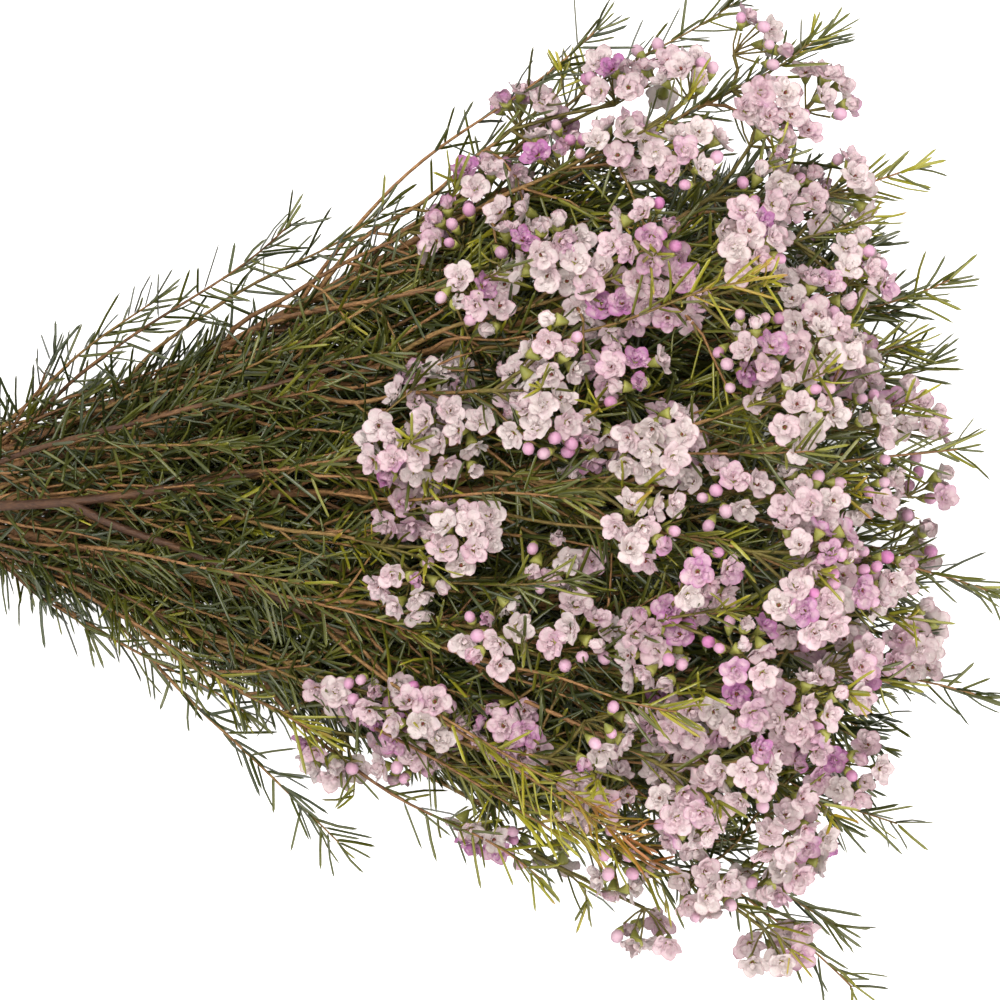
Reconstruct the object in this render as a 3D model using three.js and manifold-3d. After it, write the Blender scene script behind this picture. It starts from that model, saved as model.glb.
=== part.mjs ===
// A florist's bunch of double-flowered waxflower, lying on its side.
//
// Ten woody stems are held by a rubber band. Past the band they fan out and branch into thin
// twigs with needle leaves. The twigs end in sprays: a stalk that forks into two umbels of small
// five-petalled double flowers, each on a funnel-shaped green cup. Leafy shoots reach out between them.
//
// Every piece grows as one closed skin: a branch takes the place of one triangle of the wood that
// bears it, so a stem with its twigs and leaves is one body, and so is a spray with its flowers.
//
// Millimetres, +Z up. While it is laid out, the bunch is measured from the band: `along` runs
// from the band to the flower heads (+X), `sideways` is +Y, and `height` is above the surface that
// it lies on (+Z). The finished group is moved so that its origin is the bottom centre of its
// bounding box.

import * as THREE from 'three';
import Module from 'manifold-3d';

const wasm = await Module();
wasm.setup();

// ---------------------------------------------------------------- driving dimensions

const GAP = 0.3; // clearance between neighbouring pieces
const PRESSED = 0.4; // how far the surface presses the lowest petals flat
const GOLDEN_ANGLE = Math.PI * (3 - Math.sqrt(5));

const BAND = { width: 9, thickness: 1.4 };
const HANDLE = { length: 112, spread: 1.5 }; // from the band to the cut ends, and how far the pitch opens there
const STEM = {
  foot: 2.1, // radius at the cut end
  tip: 1.1,
  sides: 4,
  pitch: 5, // between neighbours in the band
  node: 2.4, // length of the stretch from which a twig or a whorl of leaves springs
  straight: 60, // how far it keeps the band's direction
  homing: 110, // how far it keeps its tip's direction
};
const TWIG = {
  foot: 1.15,
  tip: 0.9,
  sides: 3,
  node: 1.3,
  parting: 8, // length over which it comes clear of its stem
  opening: 0.75, // slope at which it leaves
  bare: 60, // longest straight run between two rings
  first: 46, // along the stem, the first place for one
  room: 6.7, // between two places for one
};
const SPRAY = {
  reach: 95, // from its flowers back to where its twig leaves the stem
  length: 34, // from its foot to the middle of its flowers
  fork: 7, // from its foot to where it forks
  stalk: 0.9,
  hub: 1.05, // radius of the swelling that bears an umbel
  swelling: 1.4, // length of the fork's and the hub's swelling
  lowest: 5, // height that its wood keeps
};
const UMBEL = {
  flowers: 3,
  depth: 14, // from the hub to the level of the flowers
  spread: 9.2, // from the umbel's axis to a flower's centre
  tilt: 0.5, // how far the flowers lean outwards
  outward: 0.7, // share of the bunch's own form in the way the umbel faces
  sizes: [1, 0.9, 0.8, 0.7, 0.6], // shares of full size to try where flowers crowd
};
// After the radius, each number of a bloom is a share of it.
const BLOOM = {
  radius: 7.4, petals: 5, notch: 0.72, lift: 0.14, inner: 0.46, crown: 0.42, eye: 0.12, cup: 0.6, throat: 0.2,
};
const BUD = { radius: 2.5, sides: 5, stalk: 0.8 };
const NEEDLE = { length: [15, 23], lean: 0.7, turns: [0, 0.4, -0.4, 0.8, -0.8] };
const WHORL = { leaves: 3, stemStep: 64, sprayAt: 7, shoot: 4, shootStep: 8.5, shootAt: 3 };
const SHOOT = { reach: 105, tip: 5, crown: 13 }; // crown: from the last wood to the tips of the last leaves

// The bunch's oval cross-section at stations along it: [along, half width, half height, centre height].
const PROFILE = [
  [-112, 16, 12, 13], [0, 13, 10, 10], [68, 35, 24, 27], [110, 52, 34, 37], [150, 75, 46, 49],
  [190, 105, 58, 61], [230, 122, 68, 71], [260, 150, 76, 79], [300, 172, 85, 88], [340, 176, 86, 89],
  [370, 160, 78, 88], [395, 110, 56, 86], [415, 55, 28, 85], [430, 6, 4, 85],
];

// Rows of stems in the band, from the surface up, and each stem's tip: [along, across, level].
// Level is 1 on top of the bunch's cross-section, 0 at its middle and -1 on its underside.
const STEM_ROWS = [
  [[280, -78, -0.5], [295, 0, -0.55], [280, 75, -0.5]],
  [[245, -105, 0.05], [290, -42, 0.05], [290, 40, 0], [250, 112, 0.1]],
  [[280, -68, 0.5], [300, 5, 0.55], [285, 72, 0.5]],
];

// Flower sprays. Each row is one branchlet with its umbels: [along, across, level].
const SPRAYS = [
  [[288, 155, 0.4], [257, 146, 0.1]], [[317, 155, 0.9], [316, 122, 0.9]], [[344, 168, 0.2], [369, 149, 0]],
  [[346, 135, 0.6], [345, 108, 0.5]], [[378, 114, 0.3], [380, 86, 0.7]], [[245, 120, 0.3], [229, 100, 0.6]],
  [[240, 72, 0.95], [268, 88, 0.95]], [[299, 94, 1], [309, 74, 0.8]], [[339, 91, 1], [341, 58, 0.9]],
  [[268, 51, 1], [264, 26, 1]], [[291, 45, 0.8], [282, 18, 0.75]], [[363, 56, 0.95], [356, 31, 1]],
  [[382, 33, 0.6], [400, 34, 0.3]], [[356, 2, 0.9], [385, 4, 0.6]], [[304, 18, 0.95], [301, -10, 1]],
  [[323, -27, 0.95], [332, -49, 1]], [[362, -14, 1], [358, -36, 1]], [[385, -31, 0.7], [401, -52, 0.2]],
  [[210, 18, 1], [232, 22, 0.9]], [[235, -11, 1], [217, -32, 1]], [[245, -47, 1], [277, -49, 0.8]],
  [[302, -56, 0.8], [338, -75, 0.8]], [[358, -72, 0.9], [379, -61, 0.7]], [[202, -72, 0.7], [224, -76, 0.8]],
  [[186, -98, 0.2], [214, -96, 0.4]], [[250, -85, 0.7], [244, -124, 0]], [[288, -84, 0.9], [284, -107, 0.8]],
  [[335, -99, 1], [316, -111, 1]], [[353, -118, 0.8], [375, -98, 0.5]], [[292, -134, 0.6], [324, -142, 0.5]],
  [[346, -139, 0.4], [349, -164, 0]],
  [[222, 44, -0.9], [250, 70, -1]], [[215, -30, -1], [243, -66, -1]],
  [[286, 92, -0.9], [316, 118, -0.85]], [[288, -96, -0.9], [318, -120, -0.85]], [[322, -34, -1], [346, -4, -1]],
  [[330, 60, -1], [358, 88, -0.8]], [[340, -78, -0.9], [368, -104, -0.6]], [[378, -44, -0.8], [402, -14, -0.5]],
  [[376, 42, -0.8], [405, 8, -0.2]], [[264, 136, -0.5], [302, 158, -0.4]], [[262, -128, -0.6], [300, -160, -0.2]],
];

// Leafy shoots that carry no flowers: the tip as [along, across, height].
const SHOOTS = [
  [173, 100, 84], [122, 72, 62], [85, 53, 44], [207, 106, 72], [189, -126, 34], [183, -84, 92], [293, -119, 150],
  [263, -136, 96], [425, -33, 92], [423, -71, 84], [398, 120, 84], [410, 79, 92], [411, 18, 120],
  [405, 50, 60], [392, -117, 78], [371, -155, 70], [377, -178, 52], [283, 169, 92],
  [333, 180, 70], [366, 168, 76], [333, 76, 176], [358, 17, 172], [329, -14, 178], [277, 0, 168],
  [272, -28, 162], [310, -74, 166], [333, -92, 150], [97, -48, 34], [155, -78, 44], [150, 20, 98], [178, -30, 118],
];

// ---------------------------------------------------------------- solids

const X_AXIS = new THREE.Vector3(1, 0, 0);
const Y_AXIS = new THREE.Vector3(0, 1, 0);
const Z_AXIS = new THREE.Vector3(0, 0, 1);

const point = (along, sideways, height) => new THREE.Vector3(along, sideways, height);
const centroid = (points) => points.reduce((sum, p) => sum.add(p), point(0, 0, 0)).divideScalar(points.length);
// The place that is `distance` from `start` towards `way`.
const beyond = (start, way, distance) => start.clone().addScaledVector(way, distance);
// The direction made of `a` and a share of `b`.
const blend = (a, b, share) => a.clone().addScaledVector(b, share).normalize();

// The direction at an angle about `axis`, anticlockwise.
function spoke(axis, angle) {
  const side = new THREE.Vector3().crossVectors(Math.abs(axis.z) < 0.9 ? Z_AXIS : X_AXIS, axis).normalize();
  return side.applyAxisAngle(axis, angle);
}

function ring(centre, axis, radius, sides, turn = 0) {
  return Array.from({ length: sides }, (_, k) => (
    beyond(centre, spoke(axis, turn + (2 * Math.PI * k) / sides), radius)));
}

// The steps that lead round two rings of n and m points at the same pace. A step goes on from point
// i of the one and point j of the other, and moves one of the two.
function stepsRound(n, m) {
  const steps = [];
  let [i, j] = [n === 1 ? 1 : 0, m === 1 ? 1 : 0];
  while (i < n || j < m) {
    const lowerMoves = j >= m || (i < n && (i + 1) / n <= (j + 1) / m);
    steps.push({ i, j, lowerMoves });
    if (lowerMoves) i += 1;
    else j += 1;
  }
  return steps;
}

// A closed skin that grows ring by ring. Each ring is a list of points that runs anticlockwise
// about the way of growth, and one point is a tip. A branch takes the place of one triangle.
class Growth {
  constructor(first) {
    this.points = [];
    this.faces = new Set();
    this.foot = this.add(first);
    this.close([...this.foot].reverse());
  }

  add(points) {
    return points.map((p) => this.points.push(p) - 1);
  }

  close(loop) {
    const made = loop.slice(1, -1).map((_, k) => [loop[0], loop[k + 1], loop[k + 2]]);
    made.forEach((face) => this.faces.add(face));
    return made;
  }

  // How far to turn the upper ring so that the edges of the skin between the two are the straightest.
  match(lower, upper, steps) {
    const spokes = (loop) => {
      const points = this.corners(loop);
      const middle = centroid(points);
      return points.map((p) => p.clone().sub(middle).normalize());
    };
    const [from, to] = [spokes(lower), spokes(upper)];
    const likeness = (shift) => steps.reduce((sum, { i, j }) => (
      sum + from[i % from.length].dot(to[(j + shift) % to.length])), 0);
    const clearlyMore = 1e-9;
    return to.map((_, shift) => shift)
      .reduce((best, shift) => (likeness(shift) > likeness(best) + clearlyMore ? shift : best));
  }

  // Skins the lower ring over to the upper one.
  join(lower, upper) {
    const steps = stepsRound(lower.length, upper.length);
    const shift = this.match(lower, upper, steps);
    const below = (i) => lower[i % lower.length];
    const above = (j) => upper[(j + shift) % upper.length];
    const made = steps.map(({ i, j, lowerMoves }) => (
      [below(i), lowerMoves ? below(i + 1) : above(j + 1), above(j)]));
    made.forEach((face) => this.faces.add(face));
    return made;
  }

  // Grows from a loop through the rings, and gives the new triangles: a list for each length, then the end's.
  grow(loop, rings) {
    let lower = loop;
    const made = rings.map((points) => {
      const upper = this.add(points);
      const faces = this.join(lower, upper);
      lower = upper;
      return faces;
    });
    made.push(this.close(lower));
    return made;
  }

  sprout(face, rings) {
    this.faces.delete(face);
    return this.grow(face, rings);
  }

  corners(face) {
    return face.map((k) => this.points[k]);
  }

  // The free triangle among `faces` that looks most towards `way`.
  looking(faces, way) {
    const look = (face) => new THREE.Triangle(...this.corners(face)).getNormal(point(0, 0, 0)).dot(way);
    const free = faces.filter((face) => this.faces.has(face));
    return free.reduce((best, face) => (best && look(best) >= look(face) ? best : face), null);
  }

  solid() {
    return new wasm.Manifold(new wasm.Mesh({
      numProp: 3,
      vertProperties: new Float32Array(this.points.flatMap((p) => p.toArray())),
      triVerts: new Uint32Array([...this.faces].flat()),
    }));
  }

  // The finished skin, pressed flat where it dips below the surface that the bunch lies on.
  geometry() {
    const pressed = this.points.map((p) => p.clone().setZ(Math.max(0, p.z)));
    return new THREE.BufferGeometry().setFromPoints(pressed).setIndex([...this.faces].flat());
  }
}

function skin(rings) {
  const body = new Growth(rings[0]);
  body.grow(body.foot, rings.slice(1));
  return body.solid();
}

// ---------------------------------------------------------------- the space that each branch takes

const taken = []; // {branch, parent, solid, box}

function boxOf(solid) {
  const { min, max } = solid.boundingBox();
  return new THREE.Box3(point(...min), point(...max));
}

// Whether the solid keeps the gap from everything but what it may touch, and stays above the surface.
function standsClear(solid, mayTouch = () => false) {
  const rounding = 0.02;
  const box = boxOf(solid);
  if (box.min.z < -PRESSED - rounding) return false;
  box.expandByScalar(GAP);
  return !taken.some((other) => other.box.intersectsBox(box) && !mayTouch(other)
    && solid.minGap(other.solid, 2 * GAP) < GAP - rounding);
}

function take(branch, parent, solid) {
  taken.push({ branch, parent, solid, box: boxOf(solid) });
}

// Starts a body with a length of wood that nothing may touch.
function plant(name, rings) {
  const wood = skin(rings);
  if (!standsClear(wood)) throw new Error(`${name} is in the way of another piece`);
  take(name, null, wood);
  const body = new Growth(rings[0]);
  return { body, made: body.grow(body.foot, rings.slice(1)) };
}

// Grows a branch from a triangle of `body`, if its way is clear. Its root may touch its parent and
// the roots beside it, and the rest of it may touch nothing.
function branchOff(body, parent, face, rings, branch) {
  const foot = body.corners(face);
  const rootShare = 0.2; // of a branch that is one spike
  const spike = rings.length === 1;
  const lengths = spike ? [foot.map((p) => p.clone().lerp(rings[0][0], rootShare)), ...rings] : rings;
  const root = skin([foot, lengths[0]]);
  const rest = skin(lengths);
  const bearer = [parent, `${parent} root`];
  if (!standsClear(root, (other) => bearer.includes(other.branch) || other.parent === parent)) return null;
  if (!standsClear(rest)) return null;
  take(`${branch} root`, parent, root);
  take(branch, null, rest);
  return body.sprout(face, rings);
}

// Ways round an obstacle: the straight way, then ever wider bends to all sides.
const BENDS = [0, 5, 10, 16, 24].flatMap((by) => {
  const sides = by ? 6 : 1;
  return Array.from({ length: sides }, (_, k) => ({ by, turn: (2 * Math.PI * k) / sides }));
});

// ---------------------------------------------------------------- the bunch's form

// The oval at a distance along the bunch: [half width, half height, centre height].
function ovalAt(along) {
  const at = THREE.MathUtils.clamp(along, PROFILE[0][0], PROFILE.at(-1)[0]);
  const k = Math.max(1, PROFILE.findIndex((row) => row[0] >= at));
  const [a, b] = [PROFILE[k - 1], PROFILE[k]];
  const share = (at - a[0]) / (b[0] - a[0]);
  return [1, 2, 3].map((i) => THREE.MathUtils.lerp(a[i], b[i], share));
}

function onLevel([along, sideways, level]) {
  const [width, height, centre] = ovalAt(along);
  const chord = Math.sqrt(Math.max(0, 1 - (sideways / width) ** 2));
  return point(along, sideways, centre + level * height * chord);
}

// The way out of the bunch at a point: up the slope of its oval form.
function outward(p) {
  const step = 5;
  const form = (along) => {
    const [width, height, centre] = ovalAt(along);
    return (p.y / width) ** 2 + ((p.z - centre) / height) ** 2;
  };
  const [width, height, centre] = ovalAt(p.x);
  return point(
    (form(p.x + step) - form(p.x - step)) / (2 * step),
    (2 * p.y) / width ** 2,
    (2 * (p.z - centre)) / height ** 2,
  ).normalize();
}

// ---------------------------------------------------------------- where everything goes

const WAIST = point(40, 0, 26); // the stems fan out from about here
const ROW_HEIGHT = STEM.pitch * Math.sin(Math.PI / 3); // the stems nest in the hollows of the row below
const BASE_HEIGHT = BAND.thickness + GAP + STEM.foot; // of the lowest stems in the band

const stems = STEM_ROWS.flatMap((row, r) => row.map((tip, k) => {
  const inRow = (k - (row.length - 1) / 2) * STEM.pitch;
  const slot = point(BAND.width, inRow, BASE_HEIGHT + r * ROW_HEIGHT);
  const end = onLevel(tip);
  const way = end.clone().sub(WAIST).normalize();
  const curve = new THREE.CubicBezierCurve3(
    slot, beyond(slot, X_AXIS, STEM.straight), beyond(end, way, -STEM.homing), end,
  );
  const cutHeight = STEM.foot - PRESSED / 2 + r * ROW_HEIGHT * HANDLE.spread;
  const cut = point(-HANDLE.length, inRow * HANDLE.spread, cutHeight);
  return { cut, slot, curve, nodes: [], length: curve.getLength() };
}));
stems.forEach((stem, k) => {
  stem.name = `stem_${String(k + 1).padStart(2, '0')}`;
});

// The stem that passes closest to where a twig to `end` leaves it, with a node of its own there.
function parting(end, reach) {
  const options = stems.map((stem) => {
    const share = (end.x - reach - stem.slot.x) / (stem.curve.v3.x - stem.slot.x);
    const wish = THREE.MathUtils.clamp(share, 0, 1) * stem.length;
    const room = TWIG.room;
    const places = Array.from({ length: stem.length / room - 1 }, (_, k) => TWIG.first + k * room)
      .filter((at) => at < stem.length - room && stem.nodes.every((node) => node.at !== at));
    const at = places.reduce((best, place) => (Math.abs(place - wish) < Math.abs(best - wish) ? place : best));
    const place = stem.curve.getPointAt(at / stem.length);
    return { stem, at, place, off: place.distanceTo(end) };
  });
  const best = options.reduce((a, b) => (b.off < a.off ? b : a));
  const node = { at: best.at };
  best.stem.nodes.push(node);
  return { stem: best.stem, place: best.place, node };
}

const sprays = SPRAYS.map((row, index) => {
  const centres = row.map(onLevel);
  const middle = centroid(centres);
  const from = parting(middle, SPRAY.reach);
  const way = middle.clone().sub(from.place).normalize();
  const foot = beyond(middle, way, -SPRAY.length);
  foot.z = Math.max(foot.z, SPRAY.lowest);
  return { name: `spray_${String(index + 1).padStart(2, '0')}`, centres, from, way, foot };
});

const shoots = SHOOTS.map((tip, index) => {
  const end = point(...tip);
  const from = parting(end, SHOOT.reach);
  return { name: `shoot ${index + 1}`, from, end, way: end.clone().sub(from.place).normalize() };
});

// ---------------------------------------------------------------- stems

for (const stem of stems) {
  for (let at = TWIG.first; at < stem.length - WHORL.stemStep / 2; at += WHORL.stemStep) {
    if (!stem.nodes.some((node) => Math.abs(node.at - at) < WHORL.stemStep / 2)) stem.nodes.push({ at });
  }
  stem.nodes.push({ at: stem.length - 1.5 * STEM.node });
  stem.nodes.sort((a, b) => a.at - b.at);
  const section = (at, centre) => {
    const share = at / stem.length;
    const radius = THREE.MathUtils.lerp(STEM.foot, STEM.tip, share);
    const axis = stem.curve.getTangentAt(share);
    return ring(centre ?? stem.curve.getPointAt(share), axis, radius, STEM.sides, Math.PI / 4);
  };
  const rings = [section(0, stem.cut), section(0, beyond(stem.slot, X_AXIS, -2 * BAND.width)), section(0)];
  for (const node of stem.nodes) {
    node.ring = rings.length;
    rings.push(section(node.at), section(node.at + STEM.node));
  }
  rings.push([beyond(stem.curve.v3, stem.curve.getTangentAt(1), SHOOT.tip)]);
  const { body, made } = plant(stem.name, rings);
  stem.body = body;
  for (const node of stem.nodes) node.faces = made[node.ring];
}

// ---------------------------------------------------------------- twigs

// Grows a twig from its node on the stem to `end`, where it arrives along `way`. It bears `count`
// leaf nodes, `step` apart, the last of them `last` short of its end. It ends in a tip, or flat.
function growTwig({ stem, node, place }, end, way, name, { last, step, count, tip }) {
  const ahead = stem.curve.getTangentAt(node.at / stem.length);
  const straight = end.clone().sub(place);
  const third = straight.length() / 3;
  const off = straight.clone().projectOnPlane(ahead).normalize();
  for (const bend of BENDS) {
    const aside = spoke(way, bend.turn).multiplyScalar(bend.by);
    const leave = blend(ahead, off, TWIG.opening);
    const curve = new THREE.CubicBezierCurve3(
      place, beyond(place, leave, third).add(aside), beyond(end, way, -third).add(aside), end,
    );
    const length = curve.getLength();
    const nodes = Array.from({ length: count }, (_, k) => length - last - (count - 1 - k) * step)
      .filter((at) => at > TWIG.parting + TWIG.node);
    const free = nodes[0] ?? length;
    const spans = Math.max(1, Math.round((free - TWIG.parting) / TWIG.bare));
    const bare = Array.from({ length: spans }, (_, k) => THREE.MathUtils.lerp(TWIG.parting, free, k / spans));
    const section = (at) => {
      const share = Math.min(1, at / length);
      const axis = share < 1 ? curve.getTangentAt(share) : way;
      return ring(curve.getPointAt(share), axis, THREE.MathUtils.lerp(TWIG.foot, TWIG.tip, share), TWIG.sides);
    };
    const rings = [...bare, ...nodes.flatMap((at) => [at, at + TWIG.node])].map(section);
    rings.push(tip ? [beyond(end, way, tip)] : section(length));
    const face = stem.body.looking(node.faces, leave);
    const made = branchOff(stem.body, stem.name, face, rings, name);
    if (made) {
      const whorls = nodes.map((at, k) => (
        { along: curve.getTangentAt(at / length), faces: made[bare.length + 1 + 2 * k] }));
      return { body: stem.body, name, whorls };
    }
  }
  throw new Error(`${name} finds no clear way`);
}

const twigs = sprays.map(({ name, from, foot, way }) => (
  growTwig(from, beyond(foot, way, -GAP), way, `${name} twig`, { last: WHORL.sprayAt, step: 0, count: 1 })));

// ---------------------------------------------------------------- sprays

for (const [index, spray] of sprays.entries()) {
  const { name, way, foot } = spray;
  const fork = beyond(foot, way, SPRAY.fork);
  const swell = beyond(fork, way, -SPRAY.swelling);
  const stalk = (centre, turn) => ring(centre, way, SPRAY.stalk, TWIG.sides, turn);
  const { body, made } = plant(name, [stalk(foot, 0), stalk(swell, Math.PI / 3), stalk(fork, 0)]);
  spray.body = body;
  spray.umbels = spray.centres.map((centre, k) => {
    const facing = way.clone().lerp(outward(centre), UMBEL.outward).normalize();
    const hub = beyond(centre, facing, -UMBEL.depth);
    hub.z = Math.max(hub.z, SPRAY.lowest);
    const turn = (2 * index + k) * GOLDEN_ANGLE;
    const straight = hub.clone().sub(fork).normalize();
    for (const bend of BENDS) {
      const elbow = fork.clone().lerp(hub, 0.5).addScaledVector(spoke(straight, bend.turn), bend.by / 2);
      const arrive = hub.clone().sub(elbow).normalize();
      const hubFoot = beyond(hub, facing, -SPRAY.swelling);
      const rings = [
        ring(hubFoot, blend(facing, arrive, 1), SPRAY.hub, UMBEL.flowers, turn + Math.PI / UMBEL.flowers),
        ring(hub, facing, SPRAY.stalk, UMBEL.flowers, turn),
      ];
      if (bend.by) rings.unshift(ring(elbow, blend(arrive, straight, 1), SPRAY.stalk, TWIG.sides));
      const face = body.looking([...made[1], ...made[2]], elbow.clone().sub(fork).normalize());
      const grown = branchOff(body, name, face, rings, `${name} arm ${k}`);
      if (grown) {
        const [sides, end] = grown.slice(-2);
        return { name: `${name} arm ${k}`, centre, facing, turn, sides, end };
      }
    }
    throw new Error(`${name} finds no clear way for arm ${k}`);
  });
}

// ---------------------------------------------------------------- flowers

// The rings of a bloom: the cup under the petals, a scalloped outer whorl of petals, and a raised
// inner whorl with a hollow eye.
function bloomRings(centre, facing, radius, turn) {
  const rise = (share) => beyond(centre, facing, share * radius);
  const petals = ring(centre, facing, radius, 2 * BLOOM.petals, turn).map((p, k) => (k % 2
    ? p.lerp(centre, 1 - BLOOM.notch)
    : p.addScaledVector(facing, BLOOM.lift * radius)));
  return [
    ring(rise(-BLOOM.cup), facing, BLOOM.throat * radius, TWIG.sides, turn),
    petals,
    ring(rise(BLOOM.crown), facing, BLOOM.inner * radius, BLOOM.petals, turn + Math.PI / BLOOM.petals),
    [rise(BLOOM.eye)],
  ];
}

function budRings(centre, facing) {
  return [
    ring(beyond(centre, facing, -BUD.radius), facing, BUD.stalk, TWIG.sides),
    ring(centre, facing, BUD.radius, BUD.sides),
    [beyond(centre, facing, BUD.radius)],
  ];
}

// A flower's centre, lifted so that the surface presses its lowest point by no more than a little.
function lifted(centre, facing, radius) {
  const tilted = radius * Math.sqrt(Math.max(0, 1 - facing.z ** 2));
  const below = Math.max(0, -facing.z) * BLOOM.crown * radius;
  return centre.clone().setZ(Math.max(centre.z, tilted + below - PRESSED));
}

function openBloom(body, umbel, k) {
  const out = spoke(umbel.facing, umbel.turn + (2 * Math.PI * (k + 0.5)) / UMBEL.flowers);
  for (const size of UMBEL.sizes) {
    const radius = BLOOM.radius * size;
    const closing = (1 + size) / 2; // a smaller flower sits nearer to the umbel's axis, and leans out more
    const way = blend(umbel.facing, out, UMBEL.tilt / closing);
    const spot = lifted(beyond(umbel.centre, out, UMBEL.spread * closing), way, radius);
    const rings = bloomRings(spot, way, radius, umbel.turn + k);
    if (branchOff(body, umbel.name, body.looking(umbel.sides, out), rings, `${umbel.name} bloom ${k}`)) return;
  }
}

for (const { body, umbels } of sprays) {
  for (const umbel of umbels) {
    for (let k = 0; k < UMBEL.flowers; k++) openBloom(body, umbel, k);
  }
  const [first] = umbels;
  const face = body.looking(first.end, first.facing);
  const spot = lifted(first.centre, first.facing, BUD.radius);
  branchOff(body, first.name, face, budRings(spot, first.facing), `${first.name} bud`);
}

// ---------------------------------------------------------------- leaves

let leafCount = 0;

// Needle leaves round a whorl, from its free triangles. One that is in the way turns aside or is left out.
function leafOut({ body, name }, { along, faces }, spin) {
  for (let k = 0; k < WHORL.leaves; k++) {
    const angle = spin + (2 * Math.PI * k) / WHORL.leaves;
    const face = body.looking(faces, spoke(along, angle));
    if (!face) continue;
    const foot = centroid(body.corners(face));
    const length = THREE.MathUtils.lerp(...NEEDLE.length, (leafCount * GOLDEN_ANGLE) % 1);
    for (const turn of NEEDLE.turns) {
      const way = blend(along, spoke(along, angle + turn), NEEDLE.lean);
      if (branchOff(body, name, face, [[beyond(foot, way, length)]], `leaf ${leafCount}`)) {
        leafCount += 1;
        break;
      }
    }
  }
}

for (const { name, from, end, way } of shoots) {
  const twig = growTwig(from, beyond(end, way, -SHOOT.crown), way, name, {
    last: WHORL.shootAt, step: WHORL.shootStep, count: WHORL.shoot, tip: SHOOT.tip,
  });
  twig.whorls.forEach((whorl, k) => leafOut(twig, whorl, (k * Math.PI) / WHORL.leaves));
}
for (const twig of twigs) {
  twig.whorls.forEach((whorl) => leafOut(twig, whorl, 0));
}
for (const stem of stems) {
  stem.nodes.forEach(({ at, faces }, k) => (
    leafOut(stem, { along: stem.curve.getTangentAt(at / stem.length), faces }, k * GOLDEN_ANGLE)));
}

// ---------------------------------------------------------------- rubber band

// The outline round the stems, `offset` outside their skins: straight runs joined by arcs round
// the corner stems, in the plane across the bunch (x is sideways, y is height).
function bandOutline(Kind, offset) {
  const last = STEM_ROWS.length - 1;
  const half = STEM_ROWS.map((row) => ((row.length - 1) / 2) * STEM.pitch);
  const right = [[half[0], 0], [half[1], 1], [half[last], last]];
  const corners = [...right, ...right.map(([sideways, row]) => [-sideways, row]).reverse()];
  const outline = new Kind();
  corners.forEach(([sideways, row], k) => {
    const middle = -Math.PI / 2 + ((k + 0.5) * Math.PI) / 3;
    outline.absarc(
      sideways, BASE_HEIGHT + row * ROW_HEIGHT, STEM.foot + offset, middle - Math.PI / 6, middle + Math.PI / 6,
    );
  });
  outline.closePath();
  return outline;
}

function bandGeometry() {
  const outline = bandOutline(THREE.Shape, GAP + BAND.thickness);
  outline.holes.push(bandOutline(THREE.Path, GAP));
  const settings = { depth: BAND.width, bevelEnabled: false, curveSegments: 2 };
  const geometry = new THREE.ExtrudeGeometry(outline, settings);
  geometry.applyMatrix4(new THREE.Matrix4().makeBasis(Y_AXIS, Z_AXIS, X_AXIS));
  return geometry.translate(-BAND.width / 2, 0, 0);
}

// ---------------------------------------------------------------- the finished bunch

const LOOKS = {
  foliage: { color: 0x55602f, roughness: 0.7, metalness: 0 },
  flowers: { color: 0xe6cfe0, roughness: 0.6, metalness: 0 },
  band: { color: 0xc99a5b, roughness: 0.5, metalness: 0 },
};

const bunch = new THREE.Group();

function add(name, geometry, look) {
  const mesh = new THREE.Mesh(geometry, new THREE.MeshStandardMaterial(look));
  mesh.name = name;
  bunch.add(mesh);
}

for (const { name, body } of stems) add(name, body.geometry(), LOOKS.foliage);
for (const { name, body } of sprays) add(name, body.geometry(), LOOKS.flowers);
add('band', bandGeometry(), LOOKS.band);

bunch.updateMatrixWorld(true);
const box = new THREE.Box3().setFromObject(bunch, true);
const middle = box.getCenter(point(0, 0, 0));
bunch.position.set(-middle.x, -middle.y, -box.min.z);

export default bunch;
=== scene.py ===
import bpy
import numpy as np
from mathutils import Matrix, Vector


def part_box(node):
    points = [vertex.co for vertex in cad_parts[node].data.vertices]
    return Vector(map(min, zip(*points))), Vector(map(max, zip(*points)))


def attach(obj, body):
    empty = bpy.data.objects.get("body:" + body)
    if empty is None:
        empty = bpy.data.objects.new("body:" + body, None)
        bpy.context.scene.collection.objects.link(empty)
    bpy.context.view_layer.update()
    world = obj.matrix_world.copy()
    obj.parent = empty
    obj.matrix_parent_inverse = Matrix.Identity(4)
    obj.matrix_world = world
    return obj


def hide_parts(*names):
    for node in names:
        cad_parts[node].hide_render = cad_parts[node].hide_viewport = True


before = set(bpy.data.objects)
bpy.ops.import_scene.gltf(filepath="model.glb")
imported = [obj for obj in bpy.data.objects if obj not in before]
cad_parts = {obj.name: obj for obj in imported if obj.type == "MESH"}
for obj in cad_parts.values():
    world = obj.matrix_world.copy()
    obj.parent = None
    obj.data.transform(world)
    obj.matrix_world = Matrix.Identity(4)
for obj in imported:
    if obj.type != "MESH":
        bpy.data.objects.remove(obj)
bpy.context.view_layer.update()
bpy.ops.object.select_all(action="DESELECT")

# ---------------------------------------------------------------- stems
# Ten straight woody shoots, thick at their cut ends and held by a band, fan out into the oval head of a
# florist's bunch, which lies on its side. The scars of the leaves that they have dropped make them ribbed.

# The bunch is laid out in millimetres from the band: along it, sideways, and up from the surface under it.
MM = 0.001
band_low, band_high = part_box("band")
BAND_PLACE = np.array([(band_low.x + band_high.x) / 2, (band_low.y + band_high.y) / 2, 0.0])

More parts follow.
